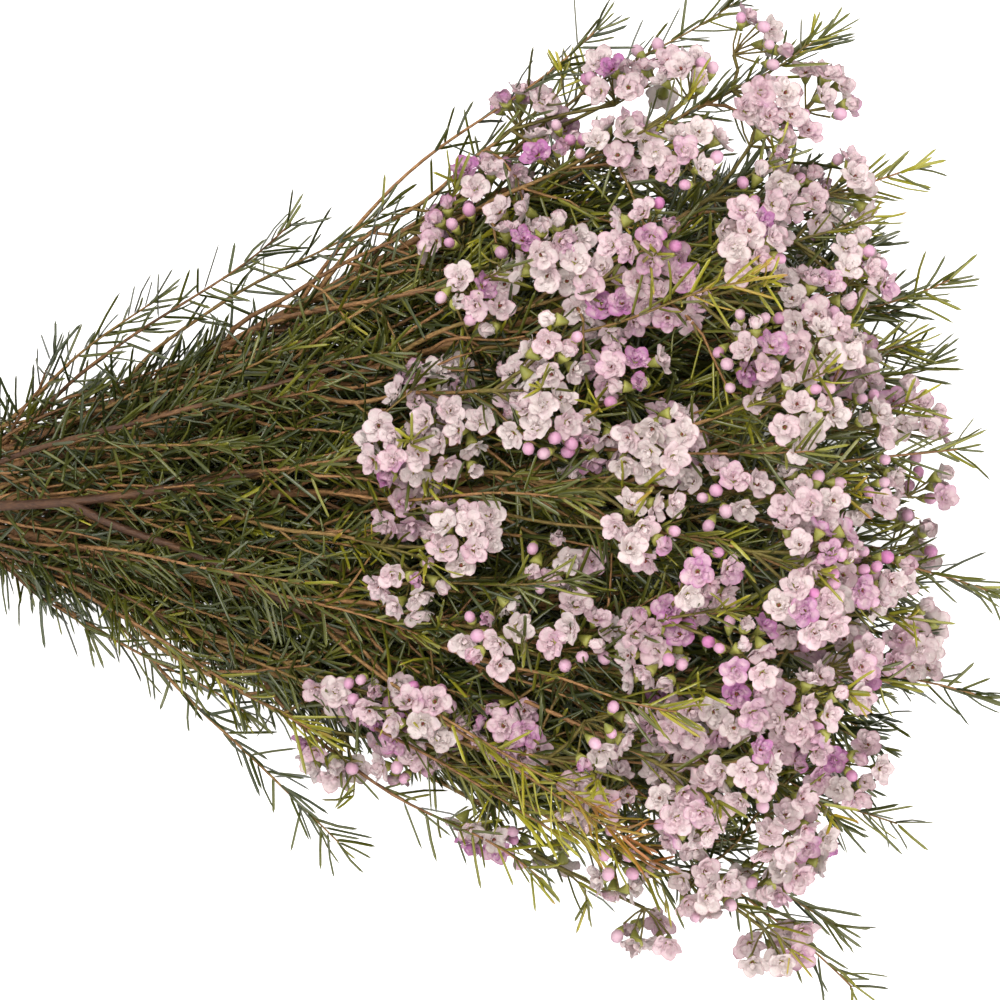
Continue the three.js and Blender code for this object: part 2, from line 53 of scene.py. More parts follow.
# The oval cross-section at stations along the bunch: along, half width, half height, height of its centre.
PROFILE = np.array((
    (-112, 16, 12, 13), (0, 13, 10, 10), (68, 35, 24, 27), (110, 52, 34, 37), (150, 75, 46, 49),
    (190, 105, 58, 61), (230, 122, 68, 71), (260, 150, 76, 79), (300, 172, 85, 88), (340, 176, 86, 89),
    (370, 160, 78, 88), (395, 110, 56, 86), (415, 55, 28, 85), (430, 6, 4, 85),
), float)

dice = np.random.default_rng(11)


def spot(*numbers):
    return np.array(numbers, float)


def unit(ways):
    return ways / np.linalg.norm(ways, axis=-1, keepdims=True)


def oval_at(along):
    """Half width, half height and centre height of the bunch."""
    return [np.interp(along, PROFILE[:, 0], PROFILE[:, k]) for k in (1, 2, 3)]


def on_level(along, across, level):
    """A place on the oval: level 1 is its top, 0 its middle and -1 its underside."""
    width, height, centre = oval_at(along)
    chord = np.sqrt(max(0.0, 1 - (across / width) ** 2))
    return spot(along, across, centre + level * height * chord)


class Route:
    """A smooth run from a start to an end, measured along its length."""

    def __init__(self, start, leave, arrive, end, crook=0.0):
        share = np.linspace(0, 1, 120)[:, None]
        self.spots = ((1 - share) ** 3 * start + 3 * (1 - share) ** 2 * share * leave
                      + 3 * (1 - share) * share ** 2 * arrive + share ** 3 * end)
        self.spots = self.spots + self.wander(share, crook)
        steps = np.linalg.norm(np.diff(self.spots, axis=0), axis=1)
        self.marks = np.concatenate([[0], np.cumsum(steps)])
        self.length = self.marks[-1]

    @staticmethod
    def wander(share, crook):
        """How a run of natural wood strays to the sides between its two ends, by about `crook`."""
        waves = dice.normal(0, crook, (4, 3)) / np.arange(1, 5)[:, None]
        return sum(np.sin(share * np.pi * (k + 1)) * wave for k, wave in enumerate(waves))

    def at(self, distances):
        return np.stack([np.interp(distances, self.marks, self.spots[:, k]) for k in range(3)], axis=-1)

    def way(self, distances):
        return unit(self.at(np.add(distances, 1)) - self.at(np.subtract(distances, 1)))


STEM_FOOT, STEM_TIP = 2.1, 1.0  # radii
STEM_PITCH = 5.0  # between neighbours in the band
STEM_STRAIGHT, STEM_HOMING = 60.0, 110.0  # how far it keeps the band's way, and its tip's way
STEM_POINT, STEM_POINT_RADIUS = 5.0, 0.3  # each ends in a short point
STEM_SCARS, LAST_SCAR = 17.0, 4.0  # between two leaf scars, and the least from the last one to the tip
SCAR_SWELL = 0.22  # how far a scar stands out
HANDLE, HANDLE_SPREAD = 112.0, 1.5  # from the band back to the cut ends, and how far the pitch opens there
BAND_WIDTH, BAND_THICKNESS, GAP = 9.0, 1.4, 0.3
WAIST = spot(40, 0, 26)  # the stems fan out from about here
PRESSED = 0.2  # how far the lowest cut ends sink into the surface
ROW_HEIGHT = STEM_PITCH * np.sqrt(3) / 2
BASE_HEIGHT = BAND_THICKNESS + GAP + STEM_FOOT

# Rows of stems in the band, from the surface up, and the place of each one's tip: along, across, level.
STEM_ROWS = (
    ((280, -78, -0.5), (295, 0, -0.55), (280, 75, -0.5)),
    ((245, -105, 0.05), (290, -42, 0.05), (290, 40, 0), (250, 112, 0.1)),
    ((280, -68, 0.5), (300, 5, 0.55), (285, 72, 0.5)),
)


class Stem:
    def __init__(self, row, across, tip):
        slot = spot(BAND_WIDTH, across, BASE_HEIGHT + row * ROW_HEIGHT)
        end = on_level(*tip)
        way = unit(end - WAIST)
        self.cut = spot(
            -HANDLE, across * HANDLE_SPREAD, STEM_FOOT - PRESSED + row * ROW_HEIGHT * HANDLE_SPREAD)
        self.slot = slot
        self.end = end
        self.route = Route(slot, slot + (STEM_STRAIGHT, 0, 0), end - way * STEM_HOMING, end)
        self.partings = set()
        self.twigs = []


stems = [
    Stem(row, (k - (len(tips) - 1) / 2) * STEM_PITCH, tip)
    for row, tips in enumerate(STEM_ROWS) for k, tip in enumerate(tips)
]


def stem_wood(stem):
    """The stem's course as rows of place and radius."""
    route = stem.route
    handle = stem.slot - (2 * BAND_WIDTH, 0, 0)
    rows = [(stem.cut + (handle - stem.cut) * share, STEM_FOOT) for share in np.linspace(0, 1, 12)]
    rows.append((stem.slot, STEM_FOOT))
    for scar in np.arange(STEM_SCARS, route.length - LAST_SCAR, STEM_SCARS):
        radius = STEM_FOOT + (STEM_TIP - STEM_FOOT) * scar / route.length
        rows += [(route.at(scar - 5), radius), (route.at(scar - 1.5), radius),
                 (route.at(scar), radius + SCAR_SWELL), (route.at(scar + 2), radius * 0.98)]
    point = stem.end + route.way(route.length) * STEM_POINT
    return rows + [(stem.end, STEM_TIP), (point, STEM_POINT_RADIUS)]


# ---------------------------------------------------------------- twigs
# The twigs part from the stems at a narrow angle and curve out to the light. Some end in flower sprays,
# some are leafy shoots that reach out of the bunch, and many short ones fill it with leaves.

TWIG_FIRST, TWIG_ROOM = 46.0, 6.7  # along a stem: the first place for a twig, and between two places
TWIG_OPENING = 0.75  # slope at which one leaves its stem
TWIG_CROOK = 1.6  # how far one strays to the sides on its way
SPRAY_REACH, SPRAY_LENGTH = 95.0, 34.0  # from the umbels back to the stem, and to the foot of the spray
SPRAY_FORK, SPRAY_LOWEST = 7.0, 5.0  # from its foot to its fork, and the least height of its foot
SPRAY_BARE = 0.65  # the share of its twig without leaves
SHOOT_REACH = 105.0
SHOOT_BARE = ((120, 300), (0.1, 0.55))  # the share without leaves, near the band and under the flowers

# Flower sprays: each row is one branchlet with the places of its two umbels, and how deep its pink is.
SPRAYS = (
    ((288, 155, 0.4), (257, 146, 0.1), 0.5), ((317, 155, 0.9), (316, 122, 0.9), 0.2),
    ((344, 168, 0.2), (369, 149, 0), 0.3), ((346, 135, 0.6), (345, 108, 0.5), 0.35),
    ((378, 114, 0.3), (380, 86, 0.7), 0.3), ((245, 120, 0.3), (229, 100, 0.6), 0.7),
    ((240, 72, 0.95), (268, 88, 0.95), 0.25), ((299, 94, 1), (309, 74, 0.8), 0.6),
    ((339, 91, 1), (341, 58, 0.9), 0.4), ((268, 51, 1), (264, 26, 1), 0.2),
    ((291, 45, 0.8), (282, 18, 0.75), 0.6), ((363, 56, 0.95), (356, 31, 1), 0.2),
    ((382, 33, 0.6), (400, 34, 0.3), 0.35), ((356, 2, 0.9), (385, 4, 0.6), 0.3),
    ((304, 18, 0.95), (301, -10, 1), 0.2), ((323, -27, 0.95), (332, -49, 1), 0.6),
    ((362, -14, 1), (358, -36, 1), 0.5), ((385, -31, 0.7), (401, -52, 0.2), 0.3),
    ((210, 18, 1), (232, 22, 0.9), 0.2), ((235, -11, 1), (217, -32, 1), 0.35),
    ((245, -47, 1), (277, -49, 0.8), 0.3), ((302, -56, 0.8), (338, -75, 0.8), 0.35),
    ((358, -72, 0.9), (379, -61, 0.7), 0.4), ((202, -72, 0.7), (224, -76, 0.8), 0.45),
    ((186, -98, 0.2), (214, -96, 0.4), 0.35), ((250, -85, 0.7), (244, -124, 0), 0.65),
    ((288, -84, 0.9), (284, -107, 0.8), 0.35), ((335, -99, 1), (316, -111, 1), 0.4),
    ((353, -118, 0.8), (375, -98, 0.5), 0.45), ((292, -134, 0.6), (324, -142, 0.5), 0.3),
    ((346, -139, 0.4), (349, -164, 0), 0.3),
    ((222, 44, -0.9), (250, 70, -1), 0.3), ((215, -30, -1), (243, -66, -1), 0.3),
    ((286, 92, -0.9), (316, 118, -0.85), 0.3), ((288, -96, -0.9), (318, -120, -0.85), 0.3),
    ((322, -34, -1), (346, -4, -1), 0.3), ((330, 60, -1), (358, 88, -0.8), 0.3),
    ((340, -78, -0.9), (368, -104, -0.6), 0.3), ((378, -44, -0.8), (402, -14, -0.5), 0.3),
    ((376, 42, -0.8), (405, 8, -0.2), 0.3), ((264, 136, -0.5), (302, 158, -0.4), 0.3),
    ((262, -128, -0.6), (300, -160, -0.2), 0.3),
)

# Leafy shoots without flowers: the place of the tip, as along, across and height, and how young it is.
# Past 1 the newest leaves turn rusty.
SHOOTS = (
    (173, 100, 84, 0.3), (122, 72, 62, 0.2), (85, 53, 44, 0.1), (207, 106, 72, 0.3), (189, -126, 34, 0.2),
    (183, -84, 92, 0.9), (293, -119, 150, 1.5), (263, -136, 96, 0.8), (425, -33, 92, 0.5),
    (423, -71, 84, 0.4), (398, 120, 84, 0.7), (410, 79, 92, 0.4), (411, 18, 120, 0.5), (405, 50, 60, 0.3),
    (392, -117, 78, 0.5), (371, -155, 70, 0.4), (377, -178, 52, 0.5), (283, 169, 92, 0.35),
    (333, 180, 70, 0.5), (366, 168, 76, 0.4), (333, 76, 176, 1.15), (358, 17, 172, 0.5),
    (329, -14, 178, 0.7), (277, 0, 168, 0.6), (272, -28, 162, 0.5), (310, -74, 166, 0.9),
    (333, -92, 150, 0.3), (97, -48, 34, 0.2), (155, -78, 44, 0.5), (150, 20, 98, 0.4), (178, -30, 118, 0.4),
    (281, -108, 148, 1.35), (302, -128, 134, 1.45), (268, -118, 122, 1.05),
)


def part(end, reach, shared=False):
    """The stem that passes closest to where a twig to `end` leaves it, and the place on it."""
    best = None
    for stem in stems:
        share = (end[0] - reach - stem.slot[0]) / (stem.end[0] - stem.slot[0])
        wish = np.clip(share, 0, 1) * stem.route.length
        places = [
            TWIG_FIRST + k * TWIG_ROOM for k in range(int(stem.route.length / TWIG_ROOM - 1))
            if TWIG_FIRST + k * TWIG_ROOM < stem.route.length - TWIG_ROOM
            and (shared or k not in stem.partings)
        ]
        at = min(places, key=lambda place: abs(place - wish))
        off = np.linalg.norm(stem.route.at(at) - end)
        if best is None or off < best[0]:
            best = (off, stem, at)
    _, stem, at = best
    stem.partings.add(round((at - TWIG_FIRST) / TWIG_ROOM))
    return stem, at


class Twig:
    """Wood that leaves a stem and runs to `end`, where it arrives along `way`."""

    def __init__(self, stem, at, end, way, foot, tip, youth, bare=12.0, bearer=None, leave=None):
        bearer = bearer or stem.route
        place = bearer.at(at)
        ahead = bearer.way(at)
        third = np.linalg.norm(end - place) / 3
        off = end - place
        off = unit(off - ahead * off.dot(ahead))
        leave = place + unit(ahead + off * TWIG_OPENING) * third if leave is None else leave
        self.route = Route(place, leave, end - way * third, end, crook=TWIG_CROOK)
        self.foot, self.tip, self.youth, self.bare = foot, tip, youth, bare
        self.tan = dice.uniform(0.02, 0.6)
        stem.twigs.append(self)

    def wood(self):
        """The twig's course, which thickens a little where leaves stood."""
        spacing, swell = 7.5, 0.12
        places = np.linspace(0, self.route.length, max(3, int(self.route.length / spacing)))
        radii = np.interp(places, (0, self.route.length), (self.foot, self.tip))
        return list(zip(self.route.at(places), radii * (1 + swell * (np.arange(len(places)) % 2))))


class Spray:
    def __init__(self, first, second, depth):
        self.centres = [on_level(*first), on_level(*second)]
        self.depth = depth
        middle = sum(self.centres) / 2
        stem, at = part(middle, SPRAY_REACH)
        place = stem.route.at(at)
        self.way = unit(middle - place)
        self.foot = middle - self.way * SPRAY_LENGTH
        self.foot[2] = max(self.foot[2], SPRAY_LOWEST)
        self.fork = self.foot + self.way * SPRAY_FORK
        self.stem = stem
        self.twig = Twig(stem, at, self.foot, self.way, foot=0.95, tip=0.6, youth=0.4)
        self.twig.bare = SPRAY_BARE * self.twig.route.length


sprays = [Spray(*row) for row in SPRAYS]
for along, across, height, youth in SHOOTS:
    tip = spot(along, across, height)
    stem, at = part(tip, SHOOT_REACH)
    shoot = Twig(stem, at, tip, unit(tip - stem.route.at(at)), foot=0.8, tip=0.3, youth=youth)
    shoot.bare = np.interp(along, *SHOOT_BARE) * shoot.route.length

# The topmost stem has old side branches, thick and bare, that lie on top of the leaves near the band.
topmost = stems[8]
limb = Twig(topmost, 12, on_level(255, 34, 0), unit(spot(1, 0.3, -0.2)), foot=1.9, tip=1.0, youth=0.3,
            bare=70, leave=spot(95, -6, 72))
side_limb = Twig(topmost, 84, on_level(235, -78, 0.1), unit(spot(1, -0.9, -0.3)), foot=1.5, tip=0.8,
                 youth=0.3, bare=35, bearer=limb.route, leave=spot(132, -22, 74))
upper_limb = Twig(topmost, 30, on_level(225, 60, 0.2), unit(spot(1, 0.4, -0.3)), foot=1.0, tip=0.8,
                  youth=0.3, bare=35, leave=spot(85, 26, 66))
limb.tan = side_limb.tan = upper_limb.tan = -0.1  # the bark of the oldest wood


def spoke(axes, angles):
    """Directions square to the axes, at angles about them."""
    axes = np.atleast_2d(axes)
    side = unit(np.cross(np.where(np.abs(axes[:, 2:]) < 0.9, (0, 0, 1), (1, 0, 0)), axes))
    angles = np.asarray(angles, float).reshape(-1, 1)
    return side * np.cos(angles) + np.cross(axes, side) * np.sin(angles)


# The filling twigs stay inside the bunch: up to its outline in the leafy part, and under the flowers.
FILLER_STEP, FILLER_END = 8.0, 45.0  # along a stem: between two of them, and from the last to the tip
FILLER_LENGTH, FILLER_LEAN = (60, 115), (0.25, 0.6)
FILLER_FOOT, FILLER_TIP = 0.75, 0.35  # radii
TWIG_TURN, STEM_TURN = 2.4, 1.7  # radians round a stem from twig to twig, and from one stem to the next
LEAVES_END, LEAVES_LOWEST = 396, 3.0
LEAFY_ROOM = ((60, 0.98), (200, 0.9), (250, 0.8), (420, 0.74))  # along, share of the oval that leaves fill
LEAFY_EDGE = (  # along, how far leafy twigs reach to the left, and to the right
    (60, 26, 22), (104, 42, 32), (126, 50, 42), (162, 56, 58), (184, 58, 74), (212, 76, 88), (241, 102, 102),
    (270, 136, 112), (300, 165, 124), (320, 167, 145), (349, 162, 158), (364, 148, 138), (378, 110, 112),
    (392, 72, 60), (400, 30, 34),
)


def held_in(end):
    """The end of a twig, pulled inside the leafy part of the bunch."""
    end[0] = min(end[0], LEAVES_END)
    width, height, centre = oval_at(end[0])
    room = np.interp(end[0], *zip(*LEAFY_ROOM)) * dice.uniform(0.75, 1)
    off = max(1, np.hypot(end[1] / width, (end[2] - centre) / height) / room)
    alongs, left, right = zip(*LEAFY_EDGE)
    end[1] = np.clip(end[1] / off, -np.interp(end[0], alongs, right), np.interp(end[0], alongs, left))
    end[2] = max(centre + (end[2] - centre) / off, LEAVES_LOWEST)
    return end


for number, stem in enumerate(stems):
    for k, at in enumerate(np.arange(FILLER_STEP, stem.route.length - FILLER_END, FILLER_STEP)):
        place, ahead = stem.route.at(at), stem.route.way(at)
        side = spoke(ahead, k * TWIG_TURN + number * STEM_TURN + dice.normal(0, 0.3))[0]
        lean, length = dice.uniform(*FILLER_LEAN), dice.uniform(*FILLER_LENGTH)
        end = held_in(place + unit(ahead + side * lean) * length)
        youth, bare = dice.beta(1.0, 2.0), dice.uniform(5, 40)
        Twig(stem, at, end, unit(unit(end - place) + ahead * 0.3), FILLER_FOOT, FILLER_TIP, youth, bare)

# A row of low twigs closes the bunch from below.
LOW_TWIGS_FROM, LOW_TWIG_STEP, LOW_TWIG_PITCH = 130, 11.0, 14.0  # along the bunch, and across it
LOW_LEVELS, LOW_REACH = (-0.85, 0.1), (50, 85)  # their tips' levels, and how far they reach from the stem

for along in np.arange(LOW_TWIGS_FROM, LEAVES_END, LOW_TWIG_STEP):
    half = 0.9 * oval_at(along)[0]
    for across in np.arange(-half, half, LOW_TWIG_PITCH):
        end = on_level(along + dice.normal(0, 5), across + dice.normal(0, 4), dice.uniform(*LOW_LEVELS))
        end = held_in(end)
        stem, at = part(end, dice.uniform(*LOW_REACH), shared=True)
        youth = dice.beta(0.9, 2.5)
        Twig(stem, at, end, unit(end - stem.route.at(at)), FILLER_FOOT, FILLER_TIP, youth, bare=8)

# Short leafy side twigs grow from the sprays' twigs, and close the bunch under the flowers.
SIDE_TWIGS, SIDE_SPAN = 4, (0.35, 0.95)  # how many, and on which part of the twig that bears them
SIDE_LENGTH, SIDE_LEAN = (38, 66), (0.5, 1.1)
SIDE_FOOT, SIDE_TIP = 0.6, 0.3  # radii

for number, spray in enumerate(sprays):
    route = spray.twig.route
    for k, at in enumerate(np.linspace(*SIDE_SPAN, SIDE_TWIGS) * route.length):
        place, ahead = route.at(at), route.way(at)
        side = spoke(ahead, k * TWIG_TURN + number)[0]
        lean, length = dice.uniform(*SIDE_LEAN), dice.uniform(*SIDE_LENGTH)
        end = held_in(place + unit(ahead + side * lean) * length)
        youth = 0.2 + dice.beta(1.5, 2.5)
        Twig(spray.stem, at, end, unit(end - place), SIDE_FOOT, SIDE_TIP, youth, bare=6, bearer=route)


# ---------------------------------------------------------------- bark
# Old bark is grey-brown and fissured. The twigs are tan to orange-brown, and the newest wood is green.


class Value:
    """A number or colour that varies over a surface. Sums and products of values add Math nodes."""

    def __init__(self, socket):
        self.socket = socket

    def node(self, kind, settings=None, sockets=None, output=0):
        tree = self.socket.id_data
        made = tree.nodes.new(kind)
        for name, setting in (settings or {}).items():
            setattr(made, name, setting)
        for name, value in (sockets or {}).items():
            if isinstance(value, Value):
                tree.links.new(value.socket, made.inputs[name])
            else:
                made.inputs[name].default_value = value
        return Value(made.outputs[output])

    def math(self, operation, *values):
        return self.node("ShaderNodeMath", {"operation": operation}, dict(enumerate(values)))

    def __add__(self, other):
        return self.math("ADD", self, other)

    def __mul__(self, other):
        return self.math("MULTIPLY", self, other)

    def __sub__(self, other):
        return self.math("SUBTRACT", self, other)

    def __rsub__(self, other):
        return self.math("SUBTRACT", other, self)

    __radd__, __rmul__ = __add__, __mul__

    def held(self):
        """The value kept between 0 and 1."""
        return self.node("ShaderNodeClamp", None, {"Value": self})

    def mix(self, low, high):
        """From one colour to the other as this value goes from 0 to 1."""
        return self.node("ShaderNodeMix", {"data_type": "RGBA"}, {"Factor": self, 6: low, 7: high}, 2)


class Finish:
    """A new material with its shader, and the piece's own place, tint and rim to mix it from."""

    def __init__(self, name, **constants):
        self.material = bpy.data.materials.new(name)
        self.material.use_nodes = True
        self.nodes = self.material.node_tree.nodes
        self.shader = self.nodes["Principled BSDF"]
        for socket, value in constants.items():
            self.shader.inputs[socket.replace("_", " ")].default_value = value
        self.place = Value(self.nodes.new("ShaderNodeTexCoord").outputs["Object"])
        self.tint = self.attribute("tint")
        self.rim = self.attribute("rim")

    def attribute(self, name):
        made = self.nodes.new("ShaderNodeAttribute")
        made.attribute_name = name
        return Value(made.outputs["Fac"])

    def noise(self, per_metre, detail=2.0):
        return self.place.node("ShaderNodeTexNoise", None, {
            "Vector": self.place, "Scale": per_metre, "Detail": detail})

    def feed(self, socket, value):
        self.material.node_tree.links.new(value.socket, self.shader.inputs[socket])

    def bump(self, height, strength, distance):
        self.feed("Normal", height.node("ShaderNodeBump", None, {
            "Height": height, "Strength": strength, "Distance": distance}))


def colour(red, green, blue):
    """A colour from its screen values."""
    return [*(((c / 255 + 0.055) / 1.055) ** 2.4 if c > 10 else c / 3294 for c in (red, green, blue)), 1.0]


BARK_YOUNGEST = 250.0  # from the band up to here, bark gets younger
OLD_BARK, TWIG_BARK, NEW_BARK = colour(98, 66, 43), colour(218, 167, 112), colour(146, 136, 66)

bark = Finish("bark", Roughness=0.6)
flecks = bark.noise(900, 4)
streaks = bark.place.node("ShaderNodeMapping", None, {"Vector": bark.place, "Scale": (60, 900, 900)})
streaks = streaks.node("ShaderNodeTexNoise", None, {"Vector": streaks, "Scale": 1.0, "Detail": 3.0})
age = (bark.tint + bark.rim * 0.3 + (bark.noise(60) - 0.5) * 0.7).held()
wood_colour = (age * 2).held().mix(OLD_BARK, TWIG_BARK)
wood_colour = wood_colour.node("ShaderNodeMix", {"data_type": "RGBA"}, {
    "Factor": (age * 2 - 1).held(), 6: wood_colour, 7: NEW_BARK}, 2)
shadow = ((streaks * 0.7 + flecks * 0.3 - 0.38) * 3).held()
bark.feed("Base Color", wood_colour.node("ShaderNodeMix", {"data_type": "RGBA", "blend_type": "MULTIPLY"}, {
    "Factor": (1 - shadow) * 0.7, 6: wood_colour, 7: colour(120, 92, 74)}, 2))
bark.bump(streaks + flecks * 0.5, 0.8, 0.0008)

CUT_RADIUS, CUT_DEPTH = 1.7, 0.3  # the pale wood inside the bark, where the stems were cut
cut_wood = Finish("cut_wood", Roughness=0.8)
cut_wood.feed("Base Color", cut_wood.noise(900, 3).mix(colour(232, 206, 158), colour(186, 148, 100)))
cut_wood.bump(cut_wood.noise(2500), 0.4, 0.0002)


class Form:
    """A modelled shape. `rim` says for each of its points how far out on the shape it is, from 0 to 1."""

    def __init__(self, made, rim=None):
        mesh = made.data
        self.spots = np.array([point.co for point in mesh.vertices])
        self.corners = np.array([loop.vertex_index for loop in mesh.loops])
        self.sizes = np.array([face.loop_total for face in mesh.polygons])
        self.rim = np.zeros(len(self.spots)) if rim is None else rim(self.spots)
        bpy.data.objects.remove(made)


def wood(courses, sides):
    """A form made of round wood: each course is rows of place and radius."""
    curve = bpy.data.curves.new("wood", "CURVE")
    curve.dimensions = "3D"
    curve.bevel_depth = 1.0
    curve.bevel_resolution = (sides - 4) // 2
    curve.use_fill_caps = True
    for course in courses:
        spline = curve.splines.new("POLY")
        spline.points.add(len(course) - 1)
        for point, (place, radius) in zip(spline.points, course):
            point.co = (*place, 1)
            point.radius = radius
    made = bpy.data.objects.new("wood", curve)
    bpy.context.collection.objects.link(made)
    bpy.context.view_layer.objects.active = made
    made.select_set(True)
    bpy.ops.object.convert(target="MESH")
    made = bpy.context.view_layer.objects.active
    return Form(made, rim=lambda spots: np.clip(spots[:, 0] / BARK_YOUNGEST, 0, 1))


# ---------------------------------------------------------------- leaves
# A waxflower leaf is a narrow three-sided needle, 13 to 23 mm long and 1.4 mm wide, with a short point.
# They stand in pairs, each pair square to the last, bend towards the tip of their shoot and close up there.

LEAF_LENGTH = (13, 23)
LEAF_WIDTH, LEAF_THICKNESS = 1.45, 0.85
LEAF_PAIRS = 3.7  # from one pair to the next
LEAVES_KEPT, LEAVES_KEPT_OVER_STEM = 0.82, 0.3  # the share that has not dropped
# Few leaves hide the topmost stem on its way from the band: where it lies across, and from and to along.
STEM_BARE_MIDDLE, STEM_BARE_HALF_WIDTH, STEM_BARE_FROM, STEM_BARE_TO = 2.0, 5.0, 50.0, 118.0
STEM_LEAVES_FROM, STEM_LEAVES_STEP, STEM_YOUTH = 60.0, 9.0, 0.15  # the few leaves of the stems themselves
LEAN_SPREAD, WAY_SPREAD = (0.45, 1.7), 0.24  # how unevenly the leaves lean out of their shoot
TIP_LEAVES = ((0, 0.85, 1), (1, 1, 0.7))  # along the shoot, the share of their length that leaves have there

leaf_finish = Finish("leaf", Roughness=0.3, Specular_IOR_Level=0.65)
hue = (leaf_finish.tint + (leaf_finish.noise(40) - 0.5) * 0.5).held()
green = (hue * 2).held().mix(colour(57, 68, 32), colour(102, 106, 32))
green = green.node("ShaderNodeMix", {"data_type": "RGBA"}, {
    "Factor": (hue * 2 - 1).held(), 6: green, 7: colour(182, 178, 48)}, 2)
scorched = ((leaf_finish.rim - 0.75) * 5).held() * ((leaf_finish.noise(25) - 0.47) * 6).held()
rust = (scorched * 0.7 + (leaf_finish.tint - 1) * 2).held()
leaf_finish.feed("Base Color", green.node("ShaderNodeMix", {"data_type": "RGBA"}, {
    "Factor": rust, 6: green, 7: colour(176, 112, 52)}, 2))
leaf_finish.bump(leaf_finish.noise(1500, 0), 0.25, 0.0003)


def joined(made):
    """Merges the points that were moved to one place, and the empty faces between them go."""
    bpy.ops.object.mode_set(mode="EDIT")
    bpy.ops.mesh.select_all(action="SELECT")
    bpy.ops.mesh.remove_doubles(threshold=1e-4)
    bpy.ops.object.mode_set(mode="OBJECT")
    return made


def leaf_form(bend, rings):
    """A needle one unit long, along x, pointed at both ends. Its tip bends up by `bend` thicknesses."""
    bpy.ops.mesh.primitive_cylinder_add(vertices=3, radius=0.5, depth=1, rotation=(0, np.pi / 2, 0))
    made = bpy.context.object
    bpy.ops.object.transform_apply()
    bpy.ops.object.mode_set(mode="EDIT")
    for ring in rings:
        bpy.ops.mesh.select_all(action="SELECT")
        bpy.ops.mesh.bisect(plane_co=(ring - 0.5, 0, 0), plane_no=(1, 0, 0))
    bpy.ops.object.mode_set(mode="OBJECT")
    for point in made.data.vertices:
        along = point.co.x + 0.5
        full = np.interp(along, (0, rings[0], rings[-1], 1), (0, 1, 0.9, 0))
        point.co = (along, point.co.y * full, point.co.z * full + bend * along ** 2)
    return Form(joined(made), rim=lambda spots: spots[:, 0])


leaf_forms = [leaf_form(bend, rings) for bend, rings in (
    (0.4, (0.12, 0.86)), (2.4, (0.1, 0.5, 0.88)), (4.8, (0.1, 0.55, 0.88)))]


# A leaf is modelled once. `plant` sets hundreds of them out on a piece, each with its own place, size and
# tint, and does the same with the petals.


class Bed:
    """Copies of a form: for each one, its axes as columns and its foot, and its tint."""

    def __init__(self, form, material, axes, feet, tints):
        self.form, self.material = form, material
        self.axes, self.feet, self.tints = np.asarray(axes), np.asarray(feet), np.asarray(tints, float)


def still(form, material, tint=0.0):
    """One copy of a form that is already in its place."""
    return Bed(form, material, np.eye(3)[None], np.zeros((1, 3)), [tint])


THIN_EDGE = np.radians(130)  # only the edge of a petal, thin as a sheet, breaks the smooth shading


def plant(name, beds, node):
    """Makes one piece of all the copies in the beds. What would sink into the surface is pressed flat."""
    mesh = bpy.data.meshes.new(name)
    materials = list(dict.fromkeys(bed.material for bed in beds))
    spots, corners, sizes, rims, tints, slots = [], [], [], [], [], []
    count = 0
    for bed in beds:
        form, copies = bed.form, len(bed.feet)
        spots.append((np.einsum("nij,vj->nvi", bed.axes, form.spots) + bed.feet[:, None]).reshape(-1, 3))
        starts = count + np.arange(copies)[:, None] * len(form.spots)
        corners.append((form.corners + starts).ravel())
        sizes.append(np.tile(form.sizes, copies))
        rims.append(np.tile(form.rim, copies))
        tints.append(np.repeat(bed.tints, len(form.spots)))
        slots.append(np.full(copies * len(form.sizes), materials.index(bed.material)))
        count += copies * len(form.spots)
    spots, corners, sizes = np.concatenate(spots), np.concatenate(corners), np.concatenate(sizes)
    spots[:, 2] = np.maximum(spots[:, 2], 0)
    mesh.vertices.add(len(spots))
    mesh.vertices.foreach_set("co", (spots * MM + BAND_PLACE).ravel())
    mesh.loops.add(len(corners))
    mesh.loops.foreach_set("vertex_index", corners)
    mesh.polygons.add(len(sizes))
    mesh.polygons.foreach_set("loop_start", np.concatenate([[0], np.cumsum(sizes)[:-1]]))
    mesh.polygons.foreach_set("material_index", np.concatenate(slots))
    mesh.polygons.foreach_set("use_smooth", np.ones(len(sizes), bool))
    for label, values in (("rim", rims), ("tint", tints)):
        mesh.attributes.new(label, "FLOAT", "POINT").data.foreach_set("value", np.concatenate(values))
    for material in materials:
        mesh.materials.append(material)
    mesh.update(calc_edges=True)
    piece = bpy.data.objects.new(name, mesh)
    bpy.context.collection.objects.link(piece)
    bpy.ops.object.select_all(action="DESELECT")
    piece.select_set(True)
    bpy.context.view_layer.objects.active = piece
    bpy.ops.object.shade_smooth_by_angle(angle=THIN_EDGE)
    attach(piece, "root")
    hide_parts(node)
    return piece


def axes_of(outs, ups, scales):
    """Axes of copies whose x runs along `outs` and whose z leans to `ups`, scaled."""
    outs = unit(outs)
    sides = unit(np.cross(ups, outs))
    ups = np.cross(outs, sides)
    return np.stack([outs, sides, ups], axis=-1) * np.asarray(scales)[:, None, :]


def leaf_beds(feet, ways, inwards, lengths, tints):
    """Leaves at feet, along ways, bending `inwards`, shared out among the forms."""
    count = len(feet)
    ups = inwards + dice.normal(0, 0.7, (count, 3))
    widths = dice.uniform(0.8, 1.15, count)
    axes = axes_of(ways, ups, np.stack([lengths, widths * LEAF_WIDTH, widths * LEAF_THICKNESS], axis=-1))
    kinds = dice.integers(0, len(leaf_forms), count)
    return [
        Bed(form, leaf_finish.material, axes[kinds == kind], feet[kinds == kind], tints[kinds == kind])
        for kind, form in enumerate(leaf_forms) if (kinds == kind).any()
    ]


